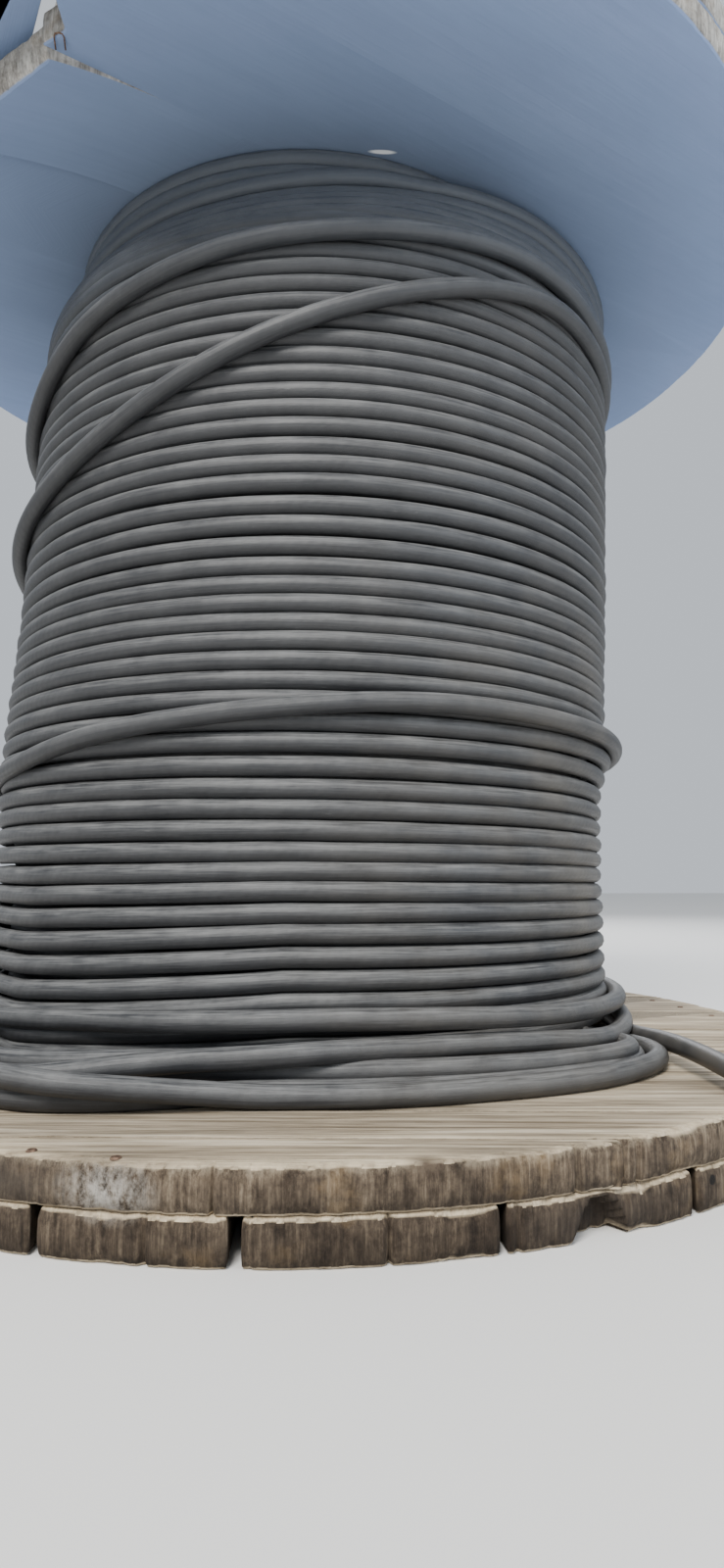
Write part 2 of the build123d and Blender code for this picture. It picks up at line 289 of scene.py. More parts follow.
class Look:
    """A material under way, with short calls for the nodes that its colours are made of."""

    def __init__(self, name):
        self.material = bpy.data.materials.new(name)
        self.material.use_nodes = True
        self.nodes, self.links = self.material.node_tree.nodes, self.material.node_tree.links
        self.shader = self.nodes["Principled BSDF"]
        self.place = self.nodes.new("ShaderNodeTexCoord").outputs["Object"]

    def feed(self, socket, value):
        """Link a socket to another node, or set it to a number or a colour."""
        if isinstance(value, (int, float)):
            socket.default_value = value
        elif isinstance(value, tuple):
            socket.default_value = (*value, 1)
        else:
            self.links.new(value, socket)

    def attribute(self, name):
        node = self.nodes.new("ShaderNodeAttribute")
        node.attribute_name = name
        return node

    def parts(self, vector):
        node = self.nodes.new("ShaderNodeSeparateXYZ")
        self.links.new(vector, node.inputs["Vector"])
        return node.outputs

    def noise(self, vector, scale, detail, roughness=0.5, stretch=None):
        if stretch:
            mapping = self.nodes.new("ShaderNodeMapping")
            mapping.inputs["Scale"].default_value = stretch
            self.links.new(vector, mapping.inputs["Vector"])
            vector = mapping.outputs["Vector"]
        texture = self.nodes.new("ShaderNodeTexNoise")
        texture.inputs["Scale"].default_value = scale
        texture.inputs["Detail"].default_value = detail
        texture.inputs["Roughness"].default_value = roughness
        self.links.new(vector, texture.inputs["Vector"])
        return texture.outputs["Fac"]

    def ramp(self, value, stops):
        node = self.nodes.new("ShaderNodeValToRGB")
        elements = node.color_ramp.elements
        elements[0].position, elements[-1].position = stops[0][0], stops[-1][0]
        elements[0].color, elements[-1].color = (*stops[0][1], 1), (*stops[-1][1], 1)
        for position, colour in stops[1:-1]:
            elements.new(position).color = (*colour, 1)
        self.links.new(value, node.inputs["Fac"])
        return node.outputs["Color"]

    def mix(self, kind, factor, first, second):
        node = self.nodes.new("ShaderNodeMix")
        node.data_type = "RGBA"
        node.blend_type = kind
        for socket, value in (("Factor", factor), (6, first), (7, second)):
            self.feed(node.inputs[socket], value)
        return node.outputs[2]

    def spread(self, value, low, high, out_low=0.0, out_high=1.0):
        """Map the range from low to high onto another one, and clamp it there."""
        node = self.nodes.new("ShaderNodeMapRange")
        for socket, given in (("From Min", low), ("From Max", high),
                              ("To Min", out_low), ("To Max", out_high)):
            node.inputs[socket].default_value = given
        self.links.new(value, node.inputs["Value"])
        return node.outputs["Result"]

    def count(self, operation, first, second=None):
        node = self.nodes.new("ShaderNodeMath")
        node.operation = operation
        self.feed(node.inputs[0], first)
        if second is not None:
            self.feed(node.inputs[1], second)
        return node.outputs["Value"]

    def length(self, vector):
        node = self.nodes.new("ShaderNodeVectorMath")
        node.operation = "LENGTH"
        self.links.new(vector, node.inputs[0])
        return node.outputs["Value"]

    def near(self, centre, reach, low=1.0, high=0.0):
        """How near the surface is to a place, with its own reach on each axis."""
        mapping = self.nodes.new("ShaderNodeMapping")
        mapping.vector_type = "TEXTURE"
        mapping.inputs["Location"].default_value = centre
        mapping.inputs["Scale"].default_value = reach
        self.links.new(self.place, mapping.inputs["Vector"])
        return self.spread(self.length(mapping.outputs["Vector"]), low, high)

    def bump(self, height, strength, distance):
        node = self.nodes.new("ShaderNodeBump")
        node.inputs["Strength"].default_value = strength
        node.inputs["Distance"].default_value = distance
        self.links.new(height, node.inputs["Height"])
        self.links.new(node.outputs["Normal"], self.shader.inputs["Normal"])


def grey(value):
    return (value, value, value)


def wood_look(name, face_tones, end_tones, under_tones=None):
    """Weathered sawn wood: fibres along the board, saw marks and dirt round the rim,
    and painted shade, haze and highlights.
    """
    look = Look(name)
    look.shader.inputs["Roughness"].default_value = 0.86
    look.shader.inputs["Specular IOR Level"].default_value = 0.22
    grain = look.attribute("grain").outputs["Vector"]
    tone = look.attribute("board_tone").outputs["Fac"]
    position = look.parts(look.place)
    height = position["Z"]
    flat_place = look.nodes.new("ShaderNodeCombineXYZ")
    look.links.new(position["X"], flat_place.inputs["X"])
    look.links.new(position["Y"], flat_place.inputs["Y"])
    radius = look.length(flat_place.outputs["Vector"])
    upright = look.parts(look.nodes.new("ShaderNodeNewGeometry").outputs["Normal"])["Z"]

    fibres = look.noise(grain, 85, 8, 0.68, (0.045, 1, 1))
    lines = look.noise(grain, 300, 4, 0.6, (0.02, 1, 1))
    rings = look.noise(grain, 16, 4, 0.6, (0.07, 1, 1))
    blotch = look.noise(grain, 6, 6, 0.62, (0.5, 1, 1))
    face = look.ramp(fibres, [(0.34, face_tones[0]), (0.5, face_tones[1]), (0.66, face_tones[2])])
    for strength, pattern, stops in (
            (0.7, lines, [(0.38, (0.4, 0.36, 0.31)), (0.52, grey(1))]),
            (0.45, rings, [(0.35, (0.6, 0.57, 0.54)), (0.62, grey(1))]),
            (0.55, blotch, [(0.32, (0.58, 0.56, 0.54)), (0.6, (1.1, 1.07, 1.02))])):
        face = look.mix("MULTIPLY", strength, face, look.ramp(pattern, stops))
    saw = look.noise(look.place, 260, 7, 0.75, (1, 1, 0.07))
    pores = look.noise(look.place, 85, 9, 0.75, (1, 1, 0.7))
    stain = look.noise(look.place, 9, 6, 0.62, (1, 1, 0.8))
    warm = look.noise(look.place, 17, 5, 0.6)
    end = look.ramp(saw, [(0.3, end_tones[0]), (0.52, end_tones[1]), (0.72, end_tones[2])])
    end = look.mix("MULTIPLY", 0.75, end, look.ramp(pores, [(0.36, (0.3, 0.27, 0.25)), (0.55, grey(1))]))
    stained = look.ramp(stain, [(0.36, (0.32, 0.29, 0.27)), (0.55, (1, 0.98, 0.95))])
    end = look.mix("MULTIPLY", 0.85, end, stained)
    end = look.mix("MIX", look.spread(warm, 0.56, 0.72, 0, 0.30), end, (0.26, 0.18, 0.09))
    if under_tones:
        # The underside of the upper flange: its blue-grey colour, darker towards the winding as painted shade
        # and paler towards the rim as a painted haze
        underside_shade_and_haze = look.mix("MIX", look.spread(radius, 0.36, 0.70), *under_tones)
        underside_shade_and_haze = look.mix("MULTIPLY", 0.12, underside_shade_and_haze, look.ramp(fibres, [(0.3, grey(0.6)), (0.7, grey(1.2))]))
        patchy = look.ramp(blotch, [(0.3, (0.6, 0.6, 0.62)), (0.65, grey(1.1))])
        underside_shade_and_haze = look.mix("MULTIPLY", 0.22, underside_shade_and_haze, patchy)
        fleck = look.near((0.085, -0.370, 1.240), (0.020, 0.004, 0.010), 1.0, 0.6)
        underside_shade_and_haze = look.mix("MIX", fleck, underside_shade_and_haze, (0.78, 0.80, 0.82))
        face = look.mix("MIX", look.spread(upright, -0.3, 0.3, 1, 0), face, underside_shade_and_haze)
    else:
        # The rim is darker towards the bottom, most on the outer layer, and paler towards the top,
        # where the upper edge is partly worn and partly a painted highlight
        tone_by_height = [(0.0, (0.38, 0.36, 0.34)), (0.018, (0.66, 0.64, 0.62)), (0.040, (0.79, 0.77, 0.75)),
                          (0.046, (0.75, 0.74, 0.72)), (0.066, (1.03, 1.01, 0.98))]
        end = look.mix("MULTIPLY", 1.0, end, look.ramp(height, tone_by_height))
        grime = look.ramp(look.noise(look.place, 34, 8, 0.72),
                          [(0.40, (0.38, 0.35, 0.32)), (0.56, (1.08, 1.05, 1.0))])
        end = look.mix("MULTIPLY", 0.6, end, grime)
        # The rim's upper edge is paler: partly worn wood, partly a painted highlight
        worn_and_highlit_edge = look.count("MULTIPLY", look.spread(height, 0.070, 0.079), look.spread(pores, 0.42, 0.62))
        worn_and_highlit_edge = look.count("MULTIPLY", worn_and_highlit_edge, look.spread(stain, 0.3, 0.55, 0.15, 0.75))
        end = look.mix("MIX", worn_and_highlit_edge, end, (0.40, 0.34, 0.25))
        # A paler band on the top face along the rim: partly wear, partly a painted highlight on the edge
        rim_wear_and_highlight = look.count("MULTIPLY", look.spread(radius, 0.668, 0.697), look.spread(blotch, 0.35, 0.6))
        rim_wear_and_highlight = look.count("MULTIPLY", rim_wear_and_highlight, look.spread(pores, 0.35, 0.6, 0.2, 0.8))
        face = look.mix("MIX", rim_wear_and_highlight, face, (0.60, 0.50, 0.35))
        # A wet stain, a pale splash and a band of painted shade on the board ends, broken up by the pores
        marks = [((0.245, -0.655, 0.018), (0.085, 0.085, 0.034), (0.2, 0.5, 0.6, 1), (0.025, 0.020, 0.017)),
                 ((-0.165, -0.682, 0.058), (0.050, 0.040, 0.030), (0.40, 0.58, 0, 0.8), (0.50, 0.48, 0.44)),
                 ((-0.250, -0.655, 0.060), (0.062, 0.060, 0.026), (0.3, 0.6, 0.35, 0.8),
                  (0.055, 0.046, 0.038))]
        for centre, reach, broken_up, colour in marks:
            mark = look.count("MULTIPLY", look.near(centre, reach), look.spread(pores, *broken_up))
            end = look.mix("MIX", mark, end, colour)
        # The nail hole in a board end is a near-black spot: painted shade in place of its depth
        nail_hole = look.near((0.370, -0.594, 0.028), grey(0.0055), 1.0, 0.7)
        end = look.mix("MIX", nail_hole, end, (0.008, 0.007, 0.006))
        knot = look.near((0.092, -0.690, 0.077), (0.021, 0.016, 0.010))
        face = look.mix("MIX", knot, face, (0.07, 0.05, 0.035))
        end = look.mix("MIX", knot, end, (0.07, 0.05, 0.035))
    flatness = look.spread(look.count("ABSOLUTE", upright), 0.5, 0.8)
    colour = look.mix("MIX", flatness, end, face)
    board_tones = look.ramp(tone, [(0, (0.80, 0.78, 0.77)), (1, (1.08, 1.05, 1))])
    colour = look.mix("MULTIPLY", 0.15 if under_tones else 0.6, colour, board_tones)
    look.links.new(colour, look.shader.inputs["Base Color"])
    relief = look.mix("MIX", flatness, look.mix("MIX", 0.5, saw, pores), look.mix("MIX", 0.4, fibres, lines))
    look.bump(relief, *((0.35, 0.002) if under_tones else (0.9, 0.004)))
    return look.material


lower_wood = wood_look("weathered_lower_boards",
                       ((0.16, 0.13, 0.095), (0.42, 0.36, 0.27), (0.66, 0.59, 0.47)),
                       ((0.035, 0.027, 0.020), (0.145, 0.117, 0.090), (0.31, 0.265, 0.205)))
# The underside tones run from painted shade by the winding to a paler painted haze at the rim
upper_wood = wood_look("stained_upper_boards_painted_shade",
                       ((0.20, 0.20, 0.19), (0.31, 0.30, 0.28), (0.42, 0.40, 0.37)),
                       (grey(0.15), (0.33, 0.33, 0.32), (0.52, 0.52, 0.50)),
                       under_tones=((0.128, 0.165, 0.235), (0.220, 0.305, 0.51)))

BUSH_RADIUS = 0.0463
ROD_HOLE_RADIUS = 0.009
RECESS_RADIUS = 0.032
RECESS_DEPTH = 0.021
DRUM_HEIGHT = 1.320
ROD_CIRCLE = 0.3743 * FLANGE_RADIUS
ROD_TURNS = [math.radians(82 + 90 * i) for i in range(4)]
ROD_PLACES = [(ROD_CIRCLE * math.cos(turn), ROD_CIRCLE * math.sin(turn)) for turn in ROD_TURNS]


def drill(board, x, y, radius, low, high):
    """Cut a round hole out of a board."""
    tool = bmesh.new()
    bmesh.ops.create_cone(tool, cap_ends=True, segments=40, radius1=radius, radius2=radius, depth=high - low)
    bmesh.ops.translate(tool, verts=tool.verts, vec=(x, y, (low + high) / 2))
    tool_mesh = bpy.data.meshes.new("drill")
    tool.to_mesh(tool_mesh)
    tool.free()
    cutter = new_object("drill", tool_mesh)
    modifier = board.modifiers.new("hole", "BOOLEAN")
    modifier.operation = "DIFFERENCE"
    modifier.solver = "EXACT"
    modifier.object = cutter
    evaluated = board.evaluated_get(bpy.context.evaluated_depsgraph_get())
    mesh = bpy.data.meshes.new_from_object(evaluated)
    board.modifiers.remove(modifier)
    board.data = mesh
    bpy.data.objects.remove(cutter)


board_seed = 0
for layer, (heading, bottom, widths, _) in LAYERS.items():
    turn = math.radians(heading)
    for index in range(len(widths)):
        board_seed += 3
        node = f"{layer}_board_{index + 1}"
        board = new_object(f"{node}_wood", board_mesh(node, layer, index, board_seed))
        low_edge = (sum(widths[:index]) - RADIUS_MM) / 1000
        high_edge = (sum(widths[:index + 1]) - RADIUS_MM) / 1000
        holes = [(0.0, 0.0, BUSH_RADIUS, bottom - 0.01, bottom + 0.05)]
        for x, y in ROD_PLACES:
            holes.append((x, y, ROD_HOLE_RADIUS, bottom - 0.01, bottom + 0.05))
            if layer == "lower_outer":
                holes.append((x, y, RECESS_RADIUS, -0.01, RECESS_DEPTH))
            if layer == "upper_outer":
                holes.append((x, y, RECESS_RADIUS, DRUM_HEIGHT - RECESS_DEPTH, DRUM_HEIGHT + 0.01))
        for x, y, radius, low, high in holes:
            offset = -math.sin(turn) * x + math.cos(turn) * y
            if low_edge - radius < offset < high_edge + radius:
                drill(board, x, y, radius, low, high)
        board.data.materials.clear()
        board.data.materials.append(lower_wood if layer.startswith("lower") else upper_wood)
        for polygon in board.data.polygons:
            polygon.use_smooth = abs(polygon.normal.z) < 0.7
        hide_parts(node)
        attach(board, "root")


# Nails
# Round wire nails hold the two layers of each flange together. Their heads show near the rim,
# rusty and driven nearly flush. The hole in one board end is painted on, with the wood.
NAIL_HEAD_RADIUS = 0.0052
NAIL_HEAD_HEIGHT = 0.0016
LOWER_NAIL_RING = 0.655
UPPER_NAIL_RING = 0.640


def nail_tree():
    """Geometry nodes that set a low round head on each point of a mesh."""
    tree = bpy.data.node_groups.new("nail_heads", "GeometryNodeTree")
    tree.interface.new_socket("Geometry", in_out="INPUT", socket_type="NodeSocketGeometry")
    head_radius = tree.interface.new_socket("Head radius", in_out="INPUT", socket_type="NodeSocketFloat")
    steel = tree.interface.new_socket("Steel", in_out="INPUT", socket_type="NodeSocketMaterial")
    tree.interface.new_socket("Geometry", in_out="OUTPUT", socket_type="NodeSocketGeometry")
    nodes, links = tree.nodes, tree.links
    given = nodes.new("NodeGroupInput")
    head = nodes.new("GeometryNodeMeshCone")
    head.inputs["Vertices"].default_value = 14
    head.inputs["Depth"].default_value = NAIL_HEAD_HEIGHT
    links.new(given.outputs["Head radius"], head.inputs["Radius Bottom"])
    top = nodes.new("ShaderNodeMath")
    top.operation = "MULTIPLY"
    top.inputs[1].default_value = 0.72
    links.new(given.outputs["Head radius"], top.inputs[0])
    links.new(top.outputs["Value"], head.inputs["Radius Top"])
    place = nodes.new("GeometryNodeInstanceOnPoints")
    links.new(given.outputs["Geometry"], place.inputs["Points"])
    links.new(head.outputs["Mesh"], place.inputs["Instance"])
    real = nodes.new("GeometryNodeRealizeInstances")
    links.new(place.outputs["Instances"], real.inputs["Geometry"])
    coat = nodes.new("GeometryNodeSetMaterial")
    links.new(real.outputs["Geometry"], coat.inputs["Geometry"])
    links.new(given.outputs["Steel"], coat.inputs["Material"])
    result = nodes.new("NodeGroupOutput")
    links.new(coat.outputs["Geometry"], result.inputs["Geometry"])
    return tree, head_radius.identifier, steel.identifier


def nail_rows(layer, ring):
    """Two nails near each end of each board of a layer, not quite in line."""
    heading, _, widths, _ = LAYERS[layer]
    turn = math.radians(heading)
    rng = np.random.default_rng(8)
    found = []
    for index, width in enumerate(widths):
        for part_way in (0.27, 0.73):
            offset = (sum(widths[:index]) + width * part_way - RADIUS_MM) / 1000
            for side in (-1, 1):
                reach = math.sqrt(max(ring ** 2 - offset ** 2, 0)) + rng.uniform(-0.008, 0.008)
                if reach > 0.08:
                    found.append((math.cos(turn) * side * reach - math.sin(turn) * offset,
                                  math.sin(turn) * side * reach + math.cos(turn) * offset))
    return found


def nail_look():
    look = Look("rusty_nail_heads")
    look.shader.inputs["Roughness"].default_value = 0.75
    look.shader.inputs["Metallic"].default_value = 0.4
    rust = look.noise(look.place, 260, 6)
    colour = look.ramp(rust, [(0.35, (0.045, 0.025, 0.015)), (0.65, (0.19, 0.12, 0.08))])
    look.links.new(colour, look.shader.inputs["Base Color"])
    return look.material


rusty_nails = nail_look()
nail_nodes, nail_radius_input, nail_steel_input = nail_tree()
# Where the board ends have broken off, no nail is further from the drum's axis than this
NAILED_UP_TO = 0.58
seen_nails = [(-0.232, -0.648), (-0.158, -0.671)]
back_nails = [(x, y) for x, y in nail_rows("lower_inner", LOWER_NAIL_RING) if y > -0.30]
for name, level, spots, slot in (
        ("lower_flange_nails", 0.0796, seen_nails + back_nails, "lower_flange_wood"),
        ("upper_flange_nails", 1.3196, nail_rows("upper_outer", UPPER_NAIL_RING), "upper_flange_wood")):
    points = bpy.data.meshes.new(f"{name}_places")
    inside_break = [(x, y) for x, y in spots
                    if level < 1 or x > BREAK_SIDE
                    or x * BREAK_NORMAL[0] + y * BREAK_NORMAL[1] < NAILED_UP_TO]
    points.from_pydata([(x, y, level) for x, y in inside_break], [], [])
    carrier = new_object(f"{name}_places", points)
    modifier = carrier.modifiers.new("heads", "NODES")
    modifier.node_group = nail_nodes
    modifier[nail_radius_input] = NAIL_HEAD_RADIUS
    modifier[nail_steel_input] = rusty_nails
    bpy.context.view_layer.update()
    heads = bpy.data.meshes.new_from_object(carrier.evaluated_get(bpy.context.evaluated_depsgraph_get()))
    nails = new_object(name, heads)
    bpy.data.objects.remove(carrier)
    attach(nails, "root")


# Wire staple
# A bent wire staple, rusty and left standing in the end of the sprung board.
def wire_piece(name, path, radius):
    curve = bpy.data.curves.new(name, "CURVE")
    curve.dimensions = "3D"
    curve.bevel_depth = radius
    curve.bevel_resolution = 3
    curve.use_fill_caps = True
    spline = curve.splines.new("POLY")
    spline.points.add(len(path) - 1)
    for point, place in zip(spline.points, path):
        point.co = (*place, 1)
    carrier = new_object(f"{name}_path", curve)
    mesh = bpy.data.meshes.new_from_object(carrier.evaluated_get(bpy.context.evaluated_depsgraph_get()))
    bpy.data.objects.remove(carrier)
    return new_object(name, mesh)


STAPLE_FOOT = (-0.290, -0.496, 1.236)
STAPLE_WIDTH = 0.011
STAPLE_HEIGHT = 0.019
STAPLE_WIRE_RADIUS = 0.0009
arch = [(-0.5, 0.0), (-0.5, 0.75), (-0.38, 0.94), (0.0, 1.0), (0.38, 0.94), (0.5, 0.75), (0.5, 0.0)]
staple_path = [(STAPLE_FOOT[0] + share * STAPLE_WIDTH + 0.10 * rise * STAPLE_HEIGHT,
                STAPLE_FOOT[1] - 0.85 * rise * STAPLE_HEIGHT, STAPLE_FOOT[2] + 0.25 * rise * STAPLE_HEIGHT)
               for share, rise in arch]
staple = wire_piece("wire_staple", staple_path, STAPLE_WIRE_RADIUS)
staple.data.materials.append(rusty_nails)
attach(staple, "root")


# Barrel staves
# Flat softwood lagging boards that the cable is wound on, held in grooves of both flanges and
# hidden under the winding.
stave_wood = wood_look("barrel_staves_wood", ((0.22, 0.16, 0.10), (0.32, 0.24, 0.15), (0.42, 0.33, 0.22)),
                       ((0.18, 0.13, 0.08), (0.30, 0.22, 0.14), (0.42, 0.33, 0.22)))
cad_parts["barrel_staves"].data.materials.clear()
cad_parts["barrel_staves"].data.materials.append(stave_wood)


# Spindle bushes and tie rods
# Lengths of steel pipe line the spindle hole, and four rods with square washers and nuts clamp
# the flanges on the barrel. Bare steel, dulled and rusting.
def steel_look(name, worn_and_highlit_edge, rust, amount, metallic):
    look = Look(name)
    look.shader.inputs["Metallic"].default_value = metallic
    patches = look.noise(look.place, 45, 8)
    colour = look.ramp(patches, [(amount - 0.08, rust), (amount + 0.1, worn_and_highlit_edge)])
    look.links.new(colour, look.shader.inputs["Base Color"])
    look.links.new(look.spread(patches, 0, 1, 0.85, 0.4), look.shader.inputs["Roughness"])
    look.bump(patches, 0.35, 0.0008)
    return look.material


bush_steel = steel_look("rusted_bush_steel", (0.16, 0.14, 0.13), (0.17, 0.075, 0.035), 0.55, 0.6)
rod_steel = steel_look("rod_steel", (0.33, 0.32, 0.31), (0.2, 0.1, 0.05), 0.42, 0.85)
for node, steel in (("lower_spindle_bush", bush_steel), ("upper_spindle_bush", bush_steel),
                    ("tie_rods", rod_steel), ("tie_rod_washers", rod_steel), ("tie_rod_nuts", rod_steel)):
    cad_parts[node].data.materials.clear()
    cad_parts[node].data.materials.append(steel)


# Cable
# Thick round cable in a matt black rubber sheath. The lay of the cores inside shows through
# as a faint slow twist, and handling has left pale scuffs and dust on the outer turns. Their upper
# sides carry a painted highlight, and the turns under the upper flange a painted bluish haze.
CABLE_DIAMETER = 0.0230
# Wound turns press together a little, and loose ones are drawn a little thicker
LAID_DIAMETER = 0.0232
LOOSE_DIAMETER = 0.0240


def cable_look(name):
    look = Look(name)
    look.shader.inputs["Specular IOR Level"].default_value = 0.45
    along = look.attribute("along").outputs["Fac"]
    around = look.attribute("around").outputs["Fac"]
    position = look.parts(look.place)
    # Marks run along the sheath: (length, cosine and sine of the place round it)
    turned = look.count("MULTIPLY", around, 2 * math.pi)
    round_x, round_y = look.count("COSINE", turned), look.count("SINE", turned)

    def along_marks(length_scale, round_scale, detail):
        vector = look.nodes.new("ShaderNodeCombineXYZ")
        for socket, value, scale in (("X", along, length_scale), ("Y", round_x, round_scale),
                                     ("Z", round_y, round_scale)):
            look.links.new(look.count("MULTIPLY", value, scale), vector.inputs[socket])
        return look.noise(vector.outputs["Vector"], 1.0, detail, 0.65)

    streaks = along_marks(16, 5.5, 8)
    scratches = along_marks(48, 22, 3)
    blotches = look.noise(look.place, 26, 5, 0.65)
    drifts = look.noise(look.place, 5, 4, 0.65)
    facing = look.parts(look.nodes.new("ShaderNodeNewGeometry").outputs["Normal"])["Z"]
    # Pale scuffs, kept mostly to the upper side of each turn as a painted highlight from above
    rubbed = look.count("MULTIPLY", look.spread(streaks, 0.38, 0.64), 0.85)
    rubbed = look.count("ADD", rubbed, look.spread(blotches, 0.35, 0.7, 0, 0.35))
    painted_top_light = look.count("ADD", look.count("MULTIPLY", look.spread(facing, -0.25, 0.75), 0.85), 0.15)
    sheath = look.mix("MIX", blotches, (0.012, 0.013, 0.0155), (0.026, 0.027, 0.030))
    sheath = look.mix("MIX", look.count("MULTIPLY", rubbed, painted_top_light), sheath, (0.142, 0.143, 0.142))
    # Brown dust lies to the right and low down, and the turns under the upper flange get a painted bluish
    # haze
    dusty = look.count("MULTIPLY", look.spread(drifts, 0.42, 0.68), look.spread(position["X"], -0.1, 0.42))
    dusty = look.count("MULTIPLY", dusty, look.spread(position["Z"], 0.95, 0.35, 0.1, 0.55))
    sheath = look.mix("MIX", dusty, sheath, (0.120, 0.106, 0.085))
    sheath = look.mix("MIX", look.spread(position["Z"], 1.02, 1.21, 0.0, 0.45), sheath, (0.085, 0.105, 0.135))
    nicks = look.count("MULTIPLY", look.spread(scratches, 0.69, 0.75), look.spread(streaks, 0.4, 0.6))
    sheath = look.mix("MIX", look.count("MULTIPLY", nicks, 0.6), sheath, (0.34, 0.34, 0.33))
    look.links.new(sheath, look.shader.inputs["Base Color"])
    look.links.new(look.spread(streaks, 0.3, 0.7, 0.42, 0.66), look.shader.inputs["Roughness"])
    twist = look.count("ADD", look.count("MULTIPLY", along, 14.0), around)
    lay = look.count("SINE", look.count("MULTIPLY", twist, 2 * math.pi * 5))
    look.bump(look.count("ADD", look.count("MULTIPLY", lay, 0.10), streaks), 0.35, 0.0016)
    return look.material


cable_sheath = cable_look("black_cable_sheath")


def cable_tree(name):
    """Geometry nodes that sweep a round sheath along a path and mark its length and its girth."""
    tree = bpy.data.node_groups.new(name, "GeometryNodeTree")
    tree.interface.new_socket("Geometry", in_out="INPUT", socket_type="NodeSocketGeometry")
    radius = tree.interface.new_socket("Radius", in_out="INPUT", socket_type="NodeSocketFloat")
    sides = tree.interface.new_socket("Sides", in_out="INPUT", socket_type="NodeSocketInt")
    sheath = tree.interface.new_socket("Sheath", in_out="INPUT", socket_type="NodeSocketMaterial")
    tree.interface.new_socket("Geometry", in_out="OUTPUT", socket_type="NodeSocketGeometry")
    nodes, links = tree.nodes, tree.links
    given = nodes.new("NodeGroupInput")
    result = nodes.new("NodeGroupOutput")

    def marked(geometry, name, value):
        mark = nodes.new("GeometryNodeStoreNamedAttribute")
        mark.data_type = "FLOAT"
        mark.domain = "POINT"
        mark.inputs["Name"].default_value = name
        links.new(geometry, mark.inputs["Geometry"])
        links.new(nodes.new("GeometryNodeSplineParameter").outputs[value], mark.inputs["Value"])
        return mark.outputs["Geometry"]

    ring = nodes.new("GeometryNodeCurvePrimitiveCircle")
    links.new(given.outputs["Radius"], ring.inputs["Radius"])
    links.new(given.outputs["Sides"], ring.inputs["Resolution"])
    sweep = nodes.new("GeometryNodeCurveToMesh")
    sweep.inputs["Fill Caps"].default_value = True
    links.new(marked(given.outputs["Geometry"], "along", "Length"), sweep.inputs["Curve"])
    links.new(marked(ring.outputs["Curve"], "around", "Factor"), sweep.inputs["Profile Curve"])
    smooth = nodes.new("GeometryNodeSetShadeSmooth")
    links.new(sweep.outputs["Mesh"], smooth.inputs["Geometry"])
    real = nodes.new("GeometryNodeRealizeInstances")
    links.new(smooth.outputs["Geometry"], real.inputs["Geometry"])
    coat = nodes.new("GeometryNodeSetMaterial")
    links.new(real.outputs["Geometry"], coat.inputs["Geometry"])
    links.new(given.outputs["Sheath"], coat.inputs["Material"])
    links.new(coat.outputs["Geometry"], result.inputs["Geometry"])
    return tree, {"Radius": radius.identifier, "Sides": sides.identifier, "Sheath": sheath.identifier}


sheath_tree, sheath_inputs = cable_tree("sheathed_cable")


def laid_cable(name, paths, sides, diameter=LAID_DIAMETER):
    """One or more lengths of cable swept along lists of points, as one plain mesh."""
    curve = bpy.data.curves.new(name, "CURVE")
    curve.dimensions = "3D"
    for path in paths:
        spline = curve.splines.new("POLY")
        spline.points.add(len(path) - 1)
        flat = np.ones((len(path), 4))
        flat[:, :3] = path
        spline.points.foreach_set("co", flat.ravel())
    carrier = new_object(f"{name}_path", curve)
    modifier = carrier.modifiers.new("sheath", "NODES")
    modifier.node_group = sheath_tree
    modifier[sheath_inputs["Radius"]] = diameter / 2
    modifier[sheath_inputs["Sides"]] = sides
    modifier[sheath_inputs["Sheath"]] = cable_sheath
    bpy.context.view_layer.update()
    evaluated = carrier.evaluated_get(bpy.context.evaluated_depsgraph_get())
    mesh = bpy.data.meshes.new_from_object(evaluated)
    mesh.name = name
    piece = new_object(name, mesh)
    bpy.data.objects.remove(carrier)
    return piece


# Wound turns
# The outer layer of the winding, one helix that falls as it goes round. Its last turns lean to
# the right and the back under the upper flange, and low down it bulges to the left. The turns
# sit unevenly, as wound by machine and shaken loose since.
TURN_LEVELS = [
    1228, 1203, 1178, 1154, 1130, 1106, 1083, 1060, 1037, 1015, 992, 968, 943, 921, 898, 875, 854,
    831, 806, 783, 760, 734, 709, 683, 659, 636, 614, 592, 570, 547, 525, 502, 478, 454, 428, 403,
    380, 356, 334, 312, 290, 267, 244, 219, 194, 170, 147, 124, 101]
FRONT = -87.0
TURN_STEPS = 128
INNER_STEPS = 96
INNER_TURNS = 50
INNER_DEPTH = 0.024
AZIMUTH_STEP = 2.5
# How close to the drum's axis the barrel lets the outer turns and the inner ones lie
OUTER_CLEARANCE = 0.377
INNER_CLEARANCE = 0.3655
# The inner turns start on the lower flange, stop rising under the upper one, and end about a turn later
INNER_START = 0.0935
UNDER_FLANGE = 1.2278
INNER_END = 1.25


def winding_centre(level):
    right = np.interp(level, [0.10, 0.42, 0.50, 0.57, 0.70, 0.96, 1.10, 1.13, 1.18, 1.23],
                      [-0.012, -0.012, -0.005, 0.0, 0.008, 0.020, 0.025, 0.030, 0.050, 0.056])
    back = np.interp(level, [0.57, 0.70, 0.96, 1.10, 1.13, 1.18, 1.205, 1.23],
                     [0.0, 0.008, 0.018, 0.025, 0.034, 0.062, 0.074, 0.086])
    return right, back


